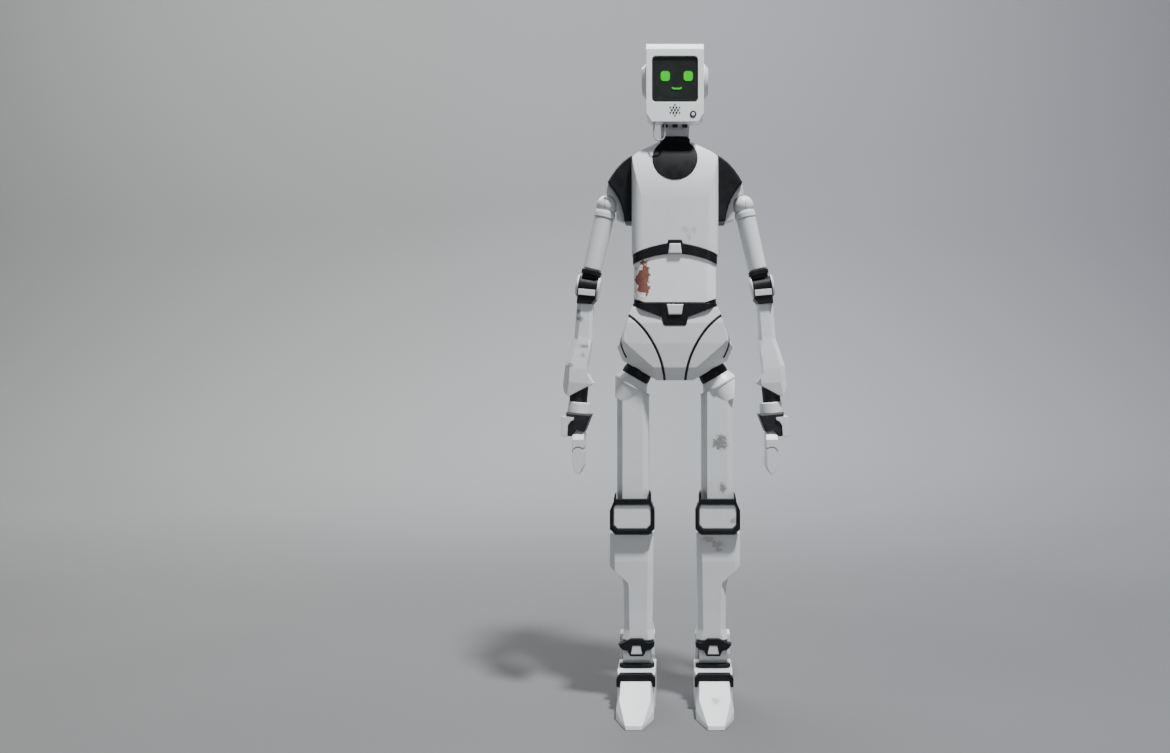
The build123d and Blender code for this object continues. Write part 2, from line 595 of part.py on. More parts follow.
def stripe(points, width):
    """A thin band along a line drawn on the front."""
    with BuildPart() as band:
        with BuildSketch(front(40)):
            with BuildLine() as spine:
                Spline(*points)
            trace(line_width=width)
        extrude(amount=80)
        mirror(about=Plane.YZ)
    return band.part


stripe_in = stripe([(45.2, 379.6), (30.8, 366.6), (20.2, 350.6), (13.9, 335.8), (10.2, 315.5)], 2.4)
stripe_out = stripe([(44.6, 380.0), (49.0, 371.6), (52.4, 362.4), (53.0, 354.0), (51.2, 346.4), (47.4, 338.4)], 1.7)
with BuildPart() as pelvis_seam:
    add(pelvis_form.part)
    add(pelvis_form.part.moved(Location((0, 1.8, 0))), mode=Mode.SUBTRACT)
    add(stripe_out, mode=Mode.INTERSECT)
with BuildPart() as pelvis_core_form:
    with BuildSketch(Plane.XY.offset(322)):
        RectangleRounded(60, 34, 6)
    extrude(amount=62)
with BuildPart() as belt:
    add(chest_form(CHEST_HW - 1.3, CHEST_D + 0.6, 0, 11))
    with BuildSketch(Plane.XY.offset(360)):
        RectangleRounded(2 * CHEST_HW - 2.6, 2 * CHEST_D + 1.2, 11)
    extrude(amount=70)
    extrude(outline(front(70), BELT_LOW), amount=140, mode=Mode.INTERSECT)
    with BuildSketch(Plane.XY.offset(360)):
        RectangleRounded(70, 42, 6)
    extrude(amount=40, mode=Mode.SUBTRACT)
    extrude(outline(front(-26.4), [(-6.4, 380.0), (-8.2, 390.0), (8.2, 390.0), (6.4, 380.0)]), amount=20, mode=Mode.SUBTRACT)
with BuildPart() as belt_buckle:
    extrude(outline(front(-26.4), [(-6.4, 380.0), (-8.2, 390.0), (8.2, 390.0), (6.4, 380.0)]), amount=3.8)
    chamfer(belt_buckle.faces().sort_by(Axis.Y)[0].edges(), 0.8)
with BuildPart() as belt_seat:
    with BuildSketch(Plane.XY.offset(360)):
        RectangleRounded(2 * CHEST_HW + 20, 2 * CHEST_D + 20, 6)
    extrude(amount=40)
    extrude(outline(front(70), [(x * 1.3 if abs(x) > 40 else x, z) for x, z in BELT_LOW]), amount=140, mode=Mode.INTERSECT)
    with BuildSketch(Plane.XY.offset(360)):
        RectangleRounded(70, 42, 6)
    extrude(amount=40, mode=Mode.SUBTRACT)
with BuildPart() as pelvis_shell:
    add(pelvis_form.part)
    add(stripe_in, mode=Mode.SUBTRACT)
    add(pelvis_seam.part, mode=Mode.SUBTRACT)
    add(pelvis_core_form.part)
    add(hip_space.part, mode=Mode.SUBTRACT)
    add(belt_seat.part, mode=Mode.SUBTRACT)
    with BuildSketch(Plane.XY.offset(378)):
        Circle(12.1)
    extrude(amount=20, mode=Mode.SUBTRACT)
    with BuildSketch(across((-25, HIP[1], HIP[2]))):
        Circle(3.07)
    extrude(amount=50, mode=Mode.SUBTRACT)
with BuildPart() as pelvis_trim:
    add(pelvis_form.part)
    add(stripe_in, mode=Mode.INTERSECT)
    add(pelvis_core_form.part, mode=Mode.SUBTRACT)
    add(pelvis_seam.part)
    add(hip_space.part, mode=Mode.SUBTRACT)
    add(belt_seat.part, mode=Mode.SUBTRACT)
    with BuildSketch(across((-25, HIP[1], HIP[2]))):
        Circle(3.2)
    extrude(amount=50, mode=Mode.SUBTRACT)

# ======================================================================== legs
with BuildPart() as hip_joint_left:
    with Locations(HIP):
        Sphere(HIP_R)
    with BuildSketch(across((HIP[0] - 24.0, HIP[1], HIP[2]))):
        Circle(3.0)
    extrude(amount=14)

THIGH_D = 17.0
octagon = [(-THIGH_W / 2, -10.5), (-THIGH_W / 2 + 5.6, -THIGH_D), (THIGH_W / 2 - 5.6, -THIGH_D), (THIGH_W / 2, -10.5),
           (THIGH_W / 2, 10.5), (THIGH_W / 2 - 5.6, THIGH_D), (-THIGH_W / 2 + 5.6, THIGH_D), (-THIGH_W / 2, 10.5)]
with BuildPart() as thigh_skirt_form:
    with BuildSketch(hip_plane(12.6)):
        with Locations((-2.0, 0)):
            Circle(19.2)
    extrude(amount=17, taper=8)
    extrude(outline(front(), [(25.0, 296.4), (58.6, 296.4), (59.6, 330), (24.4, 330)]), amount=40, both=True, mode=Mode.INTERSECT)
with BuildPart() as thigh_shell_left:
    with BuildSketch(Plane(origin=(THIGH_X, 0, 197.5))):
        with BuildLine():
            Polyline(*octagon, close=True)
        make_face()
    extrude(amount=140)
    split(bisect_by=hip_plane(12.0), keep=Keep.TOP)
    # hollow for the drive of the knee
    with BuildSketch(Plane(origin=(THIGH_X, 0, 206))):
        Rectangle(22, 24)
    extrude(amount=88, mode=Mode.SUBTRACT)
    # flared collar square to the tilted hip axis, then the skirt under it
    with BuildSketch(hip_plane(3.2)):
        Circle(14.6)
    extrude(amount=7.6, taper=-24)
    with BuildSketch(hip_plane(10.6)):
        with Locations((-2.0, 0)):
            Circle(19.8)
    extrude(amount=2.2)
    add(thigh_skirt_form.part)
    with Locations(HIP):
        Sphere(HIP_R + GAP, mode=Mode.SUBTRACT)
    # rounded tongue that turns inside the knee brace
    with BuildSketch(across((THIGH_X - 15.4, KNEE[1], KNEE[2]))):
        Circle(12.4)
        with Locations((0, 9)):
            Rectangle(21, 18)
    extrude(amount=30.8)
    with BuildSketch(across((THIGH_X - 20, KNEE[1], KNEE[2]))):
        Circle(4.06)
    extrude(amount=40, mode=Mode.SUBTRACT)

# dark brace: front frame with its two cheeks, open at the back, with the knee axle
KX0, KX1 = 19.9, 63.2
with BuildPart() as knee_brace_left:
    extrude(outline(front(-12), [(KX0 + 3.4, 198.0), (KX0 + 3.4, 206), (KX0 + 5.6, 208.5), (THIGH_X - 16.1, 208), (THIGH_X - 16.1, 201.0),
                                 (THIGH_X + 16.1, 201.0), (THIGH_X + 16.1, 206), (KX1 - 4.8, 206), (KX1 - 3.4, 198.0), (KX1, 190),
                                 (KX1, 172), (KX1 - 5.5, 166.6), (KX0 + 5.5, 166.6), (KX0, 172), (KX0, 190)]), amount=16.0)
    extrude(outline(front(-22.6), [(KX0 + 5.0, 195.9), (KX1 - 5.0, 195.9), (KX1 - 2.9, 193.0), (KX1 - 2.9, 175.6), (KX1 - 7.0, 171.4), (KX0 + 7.0, 171.4),
                                   (KX0 + 2.9, 175.6), (KX0 + 2.9, 193.0)]), amount=10, mode=Mode.SUBTRACT)
    # room for the thigh tongue behind the frame
    with BuildSketch(Plane(origin=(THIGH_X, 0, 160))):
        with Locations((0, -2)):
            Rectangle(32.2, 41.2)
    extrude(amount=60, mode=Mode.SUBTRACT)
    for x0, x1 in ((KX0, THIGH_X - 16.1), (THIGH_X + 16.1, KX1)):
        with BuildSketch(across((x0 if x0 > THIGH_X else x1 - 3.4, KNEE[1], KNEE[2]))):
            Circle(13)
            with Locations((-6, 0)):
                Rectangle(12.6, 26)
        extrude(amount=3.4)
    with BuildSketch(across((THIGH_X - 17, KNEE[1], KNEE[2]))):
        Circle(4.0)
    extrude(amount=34)

with BuildPart() as knee_cap_left:
    extrude(outline(front(-22.6), [(KX0 + 5.2, 195.7), (KX1 - 5.2, 195.7), (KX1 - 3.1, 192.9), (KX1 - 3.1, 175.7), (KX1 - 7.1, 171.6), (KX0 + 7.1, 171.6),
                                   (KX0 + 3.1, 175.7), (KX0 + 3.1, 192.9)]), amount=4.2)
    chamfer(knee_cap_left.faces().sort_by(Axis.Y)[0].edges(), 1.2)

shin_pts = [(21.0, 166.2), (63.9, 166.2), (63.9, 134.0), (60.0, 130.6), (52.6, 124.0), (50.3, 113.5), (49.8, 72), (52.2, 62), (20.4, 62), (22.4, 72)]
with BuildPart() as shin_shell_left:
    extrude(outline(front(), shin_pts), amount=30, both=True)
    extrude(outline(side(), [(-21.5, 166), (-22.5, 140), (-20.5, 90), (-20.0, 55), (18.5, 55), (20.5, 90), (22.5, 140), (19, 166)]),
            amount=90, both=True, mode=Mode.INTERSECT)
    chamfer(shin_shell_left.edges().filter_by(lambda e: abs(e.center().Y) > 15 and abs((e @ 1 - e @ 0).Z) > 9
                                              and abs((e @ 1 - e @ 0).Z) > 3 * abs((e @ 1 - e @ 0).X)), 5.2)
    with BuildSketch(Plane(origin=(THIGH_X, 0, 60))):
        with Locations((-5, 0)):
            Rectangle(16, 26)
    extrude(amount=96, mode=Mode.SUBTRACT)
    # small pad that shows through the window of the ankle brace
    extrude(outline(front(-14), [(ANKLE[0] - 3.9, 64), (ANKLE[0] + 3.9, 64), (ANKLE[0] + 3.9, 57.6), (ANKLE[0] + 5.6, 49.2),
                                 (ANKLE[0] - 5.6, 49.2), (ANKLE[0] - 3.9, 57.6)]), amount=5.2)
    extrude(outline(front(-19.2), [(ANKLE[0] - 3.9, 57.6), (ANKLE[0] + 3.9, 57.6), (ANKLE[0] + 5.6, 49.2), (ANKLE[0] - 5.6, 49.2)]), amount=3.8)
    # round hollow over the ankle barrel
    with BuildSketch(across((0, ANKLE[1], ANKLE[2]))):
        Circle(16.0 + GAP)
    extrude(amount=80, mode=Mode.SUBTRACT)
    with BuildSketch(across((0, KNEE[1], KNEE[2]))):
        Circle(12.4 + 1.0)
    extrude(amount=80, mode=Mode.SUBTRACT)
    # two ears carry the ankle axle
    for x in (ANKLE[0] - 17.2, ANKLE[0] + 14.0):
        with BuildSketch(across((x, ANKLE[1], ANKLE[2]))):
            Circle(8.5)
            with Locations((0, 9.5)):
                Rectangle(17, 19)
        extrude(amount=3.2)
    with BuildSketch(across((ANKLE[0] - 16, ANKLE[1], ANKLE[2]))):
        Circle(3.0)
    extrude(amount=32)

brace_pts = [(-17.6, 59.6), (-16.2, 61.6), (-13.2, 60.2), (-9.6, 61.4), (-5.6, 64.2), (5.6, 64.2), (9.0, 62.4), (14.4, 60.0), (17.8, 59.2),
             (15.4, 55.2), (12.6, 53.2), (8.6, 52.6), (7.0, 48.6), (6.2, 47.4), (-6.4, 47.4), (-7.4, 48.8), (-9.0, 52.6), (-13.8, 54.0), (-17.0, 56.6)]
with BuildPart() as ankle_brace_left:
    extrude(outline(front(-16.0), [(ANKLE[0] + x, z) for x, z in brace_pts]), amount=7.4)
    extrude(outline(front(-18.9), [(ANKLE[0] - 4.0, 57.8), (ANKLE[0] + 4.0, 57.8), (ANKLE[0] + 5.8, 49.0), (ANKLE[0] - 5.8, 49.0)]), amount=8, mode=Mode.SUBTRACT)
    add(shin_shell_left.part, mode=Mode.SUBTRACT)
    with BuildSketch(across((0, ANKLE[1], ANKLE[2]))):
        Circle(16.0 + GAP)
    extrude(amount=80, mode=Mode.SUBTRACT)

# foot: barrel and instep, sole, toe wedge
AX = ANKLE[0]
with BuildPart() as foot_body_left:
    with BuildSketch(across((AX - 13.7, ANKLE[1], ANKLE[2]))):
        Circle(16.0)
    extrude(amount=27.4)
    extrude(outline(side(AX - 18.6), [(-36, 0), (28, 0), (31, 8), (29, 26), (20, 33.5), (-14, 34.6), (-30.5, 34.0), (-38.0, 27.0), (-38.0, 0)]), amount=37.2)
    with BuildSketch(Plane.XY):
        with BuildLine():
            Polyline((AX - 16, -38), (AX - 18.4, -28), (AX - 18.6, 10), (AX - 12, 31), (AX + 12, 31), (AX + 18.6, 10), (AX + 18.4, -28), (AX + 16, -38), close=True)
        make_face()
    extrude(amount=80, mode=Mode.INTERSECT)
    for x in (AX - 17.6, AX + 13.7):
        with BuildSketch(across((x - 0.1, ANKLE[1], ANKLE[2]))):
            Circle(9.2)
            with Locations((0, 12)):
                Rectangle(18.4, 24)
        extrude(amount=4.1, mode=Mode.SUBTRACT)
    with BuildSketch(across((AX - 20, ANKLE[1], ANKLE[2]))):
        Circle(3.06)
    extrude(amount=40, mode=Mode.SUBTRACT)

with BuildPart() as toe_cap_left:
    extrude(outline(side(AX - 18.2), [(-38.0, 0), (-38.0, 26.0), (-42.5, 29.2), (-62, 16.6), (-86.6, 3.8), (-87.4, 0)]), amount=36.4)
    with BuildSketch(Plane.XY):
        with BuildLine():
            Polyline((AX - 16, -38), (AX - 17.8, -46), (AX - 17.6, -63), (AX - 7.4, -87.4), (AX + 7.4, -87.4), (AX + 17.6, -63), (AX + 17.8, -46), (AX + 16, -38), close=True)
        make_face()
    extrude(amount=60, mode=Mode.INTERSECT)

with BuildPart() as toe_form:
    extrude(outline(front(-36), [(AX - 18.2, 0), (AX - 18.2, 14), (AX - 13.4, 60), (AX + 13.4, 60), (AX + 18.2, 14), (AX + 18.2, 0)]), amount=60)
with BuildPart() as toe_taper:
    loft([outline(front(-36), [(AX - 18.4, 0), (AX - 18.2, 10), (AX - 13.6, 36), (AX + 13.6, 36), (AX + 18.2, 10), (AX + 18.4, 0)]),
          outline(front(-60), [(AX - 18.2, 0), (AX - 17.8, 8), (AX - 13.4, 22), (AX + 13.4, 22), (AX + 17.8, 8), (AX + 18.2, 0)]),
          outline(front(-90), [(AX - 7.4, 0), (AX - 7.2, 0.8), (AX - 5.6, 6), (AX + 5.6, 6), (AX + 7.2, 0.8), (AX + 7.4, 0)])], ruled=True)
with BuildPart() as toe_cut:
    add(toe_cap_left.part)
    add(toe_taper.part, mode=Mode.INTERSECT)
toe_cap_left = toe_cut

# dark seal around the ankle and the strap over the toe root
with BuildPart() as foot_trim_left:
    with BuildSketch(Plane.XY.offset(34.9)):
        with Locations((AX, -2)):
            RectangleRounded(34.4, 36, 6)
    extrude(amount=3.4)
    with BuildSketch(across((AX - 20, ANKLE[1], ANKLE[2]))):
        Circle(16.05)
    extrude(amount=40, mode=Mode.SUBTRACT)
    extrude(outline(front(-34.0), [(AX - 18.6, 23.0), (AX - 18.6, 31.0), (AX - 15.2, 35.2), (AX + 15.2, 35.2), (AX + 18.6, 31.0), (AX + 18.6, 23.0),
                                   (AX + 16.0, 23.0), (AX + 16.0, 26.5), (AX - 16.0, 26.5), (AX - 16.0, 23.0)]), amount=6.2)
    add(foot_body_left.part, mode=Mode.SUBTRACT)
    add(toe_cap_left.part, mode=Mode.SUBTRACT)

# ---------------------------------------------------------- mirrored right side
with BuildPart() as shoulder_ball_right:
    mirror(shoulder_ball_left.part, about=Plane.YZ)
with BuildPart() as upper_arm_right:
    mirror(upper_arm_left.part, about=Plane.YZ)
with BuildPart() as elbow_hub_right:
    mirror(elbow_hub_left.part, about=Plane.YZ)
with BuildPart() as forearm_collar_right:
    mirror(forearm_collar_left.part, about=Plane.YZ)
with BuildPart() as forearm_right:
    mirror(forearm_left.part, about=Plane.YZ)
with BuildPart() as palm_right:
    mirror(palm_left.part, about=Plane.YZ)
with BuildPart() as wrist_band_right:
    mirror(wrist_band_left.part, about=Plane.YZ)
with BuildPart() as fingers_right:
    mirror(fingers_left.part, about=Plane.YZ)
with BuildPart() as fingertips_right:
    mirror(fingertips_left.part, about=Plane.YZ)
with BuildPart() as hip_joint_right:
    mirror(hip_joint_left.part, about=Plane.YZ)
with BuildPart() as thigh_shell_right:
    mirror(thigh_shell_left.part, about=Plane.YZ)
with BuildPart() as knee_brace_right:
    mirror(knee_brace_left.part, about=Plane.YZ)
with BuildPart() as knee_cap_right:
    mirror(knee_cap_left.part, about=Plane.YZ)
with BuildPart() as shin_shell_right:
    mirror(shin_shell_left.part, about=Plane.YZ)
with BuildPart() as ankle_brace_right:
    mirror(ankle_brace_left.part, about=Plane.YZ)
with BuildPart() as foot_body_right:
    mirror(foot_body_left.part, about=Plane.YZ)
with BuildPart() as toe_cap_right:
    mirror(toe_cap_left.part, about=Plane.YZ)
with BuildPart() as foot_trim_right:
    mirror(foot_trim_left.part, about=Plane.YZ)

# --------------------------------------------------------------------- writing
pieces = {
    "face_bezel": face_bezel, "head_housing": head_housing, "screen_glass": screen_glass, "face_display": face_display,
    "ear_discs": ear_discs, "chin_inserts": chin_inserts, "power_button": power_button,
    "head_bumpers": head_bumpers, "neck_cable": neck_cable, "neck_column": neck_column,
    "chest_front_shell": chest_front_shell, "chest_back_shell": chest_back_shell, "neck_socket": neck_socket,
    "waist_band": waist_band, "waist_buckle": waist_buckle, "belly_plate": belly_plate, "torso_frame": torso_frame,
    "battery_pack": battery_pack, "shoulder_gussets": shoulder_gussets, "shoulder_pods": shoulder_pods,
    "pelvis_shell": pelvis_shell, "pelvis_trim": pelvis_trim, "belt": belt, "belt_buckle": belt_buckle,
    "shoulder_ball_left": shoulder_ball_left, "shoulder_ball_right": shoulder_ball_right,
    "upper_arm_left": upper_arm_left, "upper_arm_right": upper_arm_right,
    "elbow_hub_left": elbow_hub_left, "elbow_hub_right": elbow_hub_right,
    "forearm_collar_left": forearm_collar_left, "forearm_collar_right": forearm_collar_right,
    "forearm_left": forearm_left, "forearm_right": forearm_right,
    "palm_left": palm_left, "palm_right": palm_right,
    "wrist_band_left": wrist_band_left, "wrist_band_right": wrist_band_right,
    "fingers_left": fingers_left, "fingers_right": fingers_right,
    "fingertips_left": fingertips_left, "fingertips_right": fingertips_right,
    "hip_joint_left": hip_joint_left, "hip_joint_right": hip_joint_right,
    "thigh_shell_left": thigh_shell_left, "thigh_shell_right": thigh_shell_right,
    "knee_brace_left": knee_brace_left, "knee_brace_right": knee_brace_right,
    "knee_cap_left": knee_cap_left, "knee_cap_right": knee_cap_right,
    "shin_shell_left": shin_shell_left, "shin_shell_right": shin_shell_right,
    "ankle_brace_left": ankle_brace_left, "ankle_brace_right": ankle_brace_right,
    "foot_body_left": foot_body_left, "foot_body_right": foot_body_right,
    "toe_cap_left": toe_cap_left, "toe_cap_right": toe_cap_right,
    "foot_trim_left": foot_trim_left, "foot_trim_right": foot_trim_right,
}
for name, piece in pieces.items():
    placed = piece.part.moved(Location((0, STAND_Y, 0)))
    placed.label = name
    export_step(placed, "parts/" + name + ".step")
print(len(pieces), "pieces")
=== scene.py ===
import bpy, bmesh, json, math
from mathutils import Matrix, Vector


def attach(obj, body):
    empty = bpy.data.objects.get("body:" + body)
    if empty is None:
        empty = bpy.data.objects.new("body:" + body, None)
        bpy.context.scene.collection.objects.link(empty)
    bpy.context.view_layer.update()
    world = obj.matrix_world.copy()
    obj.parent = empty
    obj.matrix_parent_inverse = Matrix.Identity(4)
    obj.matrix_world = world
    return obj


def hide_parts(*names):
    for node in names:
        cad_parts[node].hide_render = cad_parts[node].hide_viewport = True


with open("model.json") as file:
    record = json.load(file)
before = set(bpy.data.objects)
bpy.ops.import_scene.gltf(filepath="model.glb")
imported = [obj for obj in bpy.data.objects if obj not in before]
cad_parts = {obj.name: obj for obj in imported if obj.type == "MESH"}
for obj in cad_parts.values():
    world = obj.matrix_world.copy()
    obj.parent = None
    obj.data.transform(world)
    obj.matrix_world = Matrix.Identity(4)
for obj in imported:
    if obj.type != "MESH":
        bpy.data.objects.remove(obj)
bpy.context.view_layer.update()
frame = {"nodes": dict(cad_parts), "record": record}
SY = 0.0282            # the body line is this far behind the origin, in metres


def mm(x, y, z):
    """A place given in millimetres about the body line, in the frame's metres."""
    return (x / 1000.0, y / 1000.0 + SY, z / 1000.0)


# ------------------------------------------------------------------ camera
cam_data = bpy.data.cameras.new("camera")
cam_data.sensor_width = 36.0
cam_data.lens = 27.97
cam_data.shift_x = -0.0769
cam_data.clip_start = 0.01
cam = bpy.data.objects.new("camera", cam_data)
cam.location = (0.0, SY - 0.909, 0.320)
cam.rotation_euler = (math.radians(90), 0, 0)
bpy.context.scene.collection.objects.link(cam)
bpy.context.scene.camera = cam

# ------------------------------------------------------------------- cable
CABLE = [(-19.6, -24.2, 571.0), (-20.5, -24.4, 564.7), (-20.6, -24.8, 558.8), (-20.2, -25.1, 552.5),
         (-17.3, -25.3, 549.6), (-13.1, -25.2, 549.5), (-10.2, -25.0, 552.4), (-9.8, -24.8, 558.8),
         (-9.9, -24.4, 564.8), (-10.5, -24.2, 571.0)]
curve = bpy.data.curves.new("neck_cable_curve", "CURVE")
curve.dimensions = "3D"
curve.bevel_depth = 0.00075
curve.bevel_resolution = 4
curve.use_fill_caps = True
line = curve.splines.new("NURBS")
line.points.add(len(CABLE) - 1)
for point, place in zip(line.points, CABLE):
    point.co = (*mm(*place), 1.0)
line.order_u = 3
line.use_endpoint_u = True
line.resolution_u = 12
wire = bpy.data.objects.new("cable_line", curve)
bpy.context.scene.collection.objects.link(wire)
bpy.context.view_layer.update()
tube = bpy.data.meshes.new_from_object(wire.evaluated_get(bpy.context.evaluated_depsgraph_get()))
tube.name = "neck_cable_tube"
curve.bevel_depth = 0.0
curve.use_fill_caps = False
bpy.context.view_layer.update()
centre = bpy.data.meshes.new_from_object(wire.evaluated_get(bpy.context.evaluated_depsgraph_get()))
bpy.data.objects.remove(wire)
cable = bpy.data.objects.new("chin_cable", tube)
bpy.context.scene.collection.objects.link(cable)
for polygon in tube.polygons:
    polygon.use_smooth = True
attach(cable, "head")
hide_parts("neck_cable")


# --------------------------------------------------------------- materials
class Nodes:
    """Short hand for building a node tree."""

    def __init__(self, name):
        self.mat = bpy.data.materials.new(name)
        self.mat.use_nodes = True
        self.tree = self.mat.node_tree
        self.tree.nodes.clear()
        self.out = self.tree.nodes.new("ShaderNodeOutputMaterial")
        self.bsdf = self.tree.nodes.new("ShaderNodeBsdfPrincipled")
        self.link(self.bsdf.outputs[0], self.out.inputs["Surface"])
        self.coord = self.tree.nodes.new("ShaderNodeTexCoord").outputs["Object"]

    def link(self, a, b):
        self.tree.links.new(a, b)

    def put(self, value, socket):
        if hasattr(value, "default_value") or hasattr(value, "is_linked"):
            self.link(value, socket)
        elif isinstance(value, (tuple, list)):
            socket.default_value = (*value, 1.0) if len(value) == 3 and len(socket.default_value) == 4 else value
        else:
            socket.default_value = value

    def noise(self, scale, detail=4.0, rough=0.55, stretch=None, distortion=0.0):
        node = self.tree.nodes.new("ShaderNodeTexNoise")
        node.inputs["Scale"].default_value = scale
        node.inputs["Detail"].default_value = detail
        node.inputs["Roughness"].default_value = rough
        node.inputs["Distortion"].default_value = distortion
        source = self.coord
        if stretch:
            mapping = self.tree.nodes.new("ShaderNodeMapping")
            mapping.inputs["Rotation"].default_value = stretch[1]
            mapping.inputs["Scale"].default_value = stretch[0]
            self.link(self.coord, mapping.inputs["Vector"])
            source = mapping.outputs[0]
        self.link(source, node.inputs["Vector"])
        return node.outputs["Fac"]

    def ramp(self, value, low, high, a=0.0, b=1.0, smooth=False):
        node = self.tree.nodes.new("ShaderNodeMapRange")
        node.interpolation_type = "SMOOTHSTEP" if smooth else "LINEAR"
        node.inputs["From Min"].default_value = low
        node.inputs["From Max"].default_value = high
        node.inputs["To Min"].default_value = a
        node.inputs["To Max"].default_value = b
        self.put(value, node.inputs["Value"])
        return node.outputs["Result"]

    def math(self, op, a, b=0.0):
        node = self.tree.nodes.new("ShaderNodeMath")
        node.operation = op
        self.put(a, node.inputs[0])
        self.put(b, node.inputs[1])
        return node.outputs[0]

    def mix(self, factor, a, b, blend="MIX"):
        node = self.tree.nodes.new("ShaderNodeMix")
        node.data_type = "RGBA"
        node.blend_type = blend
        self.put(factor, node.inputs["Factor"])
        self.put(a, node.inputs[6])
        self.put(b, node.inputs[7])
        return node.outputs[2]

    def spot(self, centre, radii, edge=0.35, wobble=None, amount=0.6):
        """1 inside an ellipsoid about a place in metres, 0 outside, with a ragged edge."""
        mapping = self.tree.nodes.new("ShaderNodeVectorMath")
        mapping.operation = "SUBTRACT"
        self.link(self.coord, mapping.inputs[0])
        mapping.inputs[1].default_value = centre
        scale = self.tree.nodes.new("ShaderNodeVectorMath")
        scale.operation = "DIVIDE"
        self.link(mapping.outputs[0], scale.inputs[0])
        scale.inputs[1].default_value = radii
        length = self.tree.nodes.new("ShaderNodeVectorMath")
        length.operation = "LENGTH"
        self.link(scale.outputs[0], length.inputs[0])
        distance = length.outputs["Value"]
        if wobble is not None:
            distance = self.math("ADD", distance, self.ramp(wobble, 0.3, 0.7, -amount, amount))
        return self.ramp(distance, 1.0 + edge, 1.0 - edge, 0.0, 1.0, True)

    def edge_wear_and_highlight(self, radius):
        """1 along the sharp outer edges, 0 on the faces."""
        bevel = self.tree.nodes.new("ShaderNodeBevel")
        bevel.samples = 6
        bevel.inputs["Radius"].default_value = radius
        geometry = self.tree.nodes.new("ShaderNodeNewGeometry")
        dot = self.tree.nodes.new("ShaderNodeVectorMath")
        dot.operation = "DOT_PRODUCT"
        self.link(bevel.outputs[0], dot.inputs[0])
        self.link(geometry.outputs["Normal"], dot.inputs[1])
        return self.ramp(dot.outputs["Value"], 0.995, 0.86), bevel.outputs[0]

    def crevices(self, distance):
        node = self.tree.nodes.new("ShaderNodeAmbientOcclusion")
        node.samples = 6
        node.inputs["Distance"].default_value = distance
        return self.ramp(node.outputs["AO"], 0.62, 0.2)

    def bump(self, height, strength, distance, normal=None):
        node = self.tree.nodes.new("ShaderNodeBump")
        node.inputs["Strength"].default_value = strength
        node.inputs["Distance"].default_value = distance
        self.put(height, node.inputs["Height"])
        if normal is not None:
            self.link(normal, node.inputs["Normal"])
        return node.outputs[0]


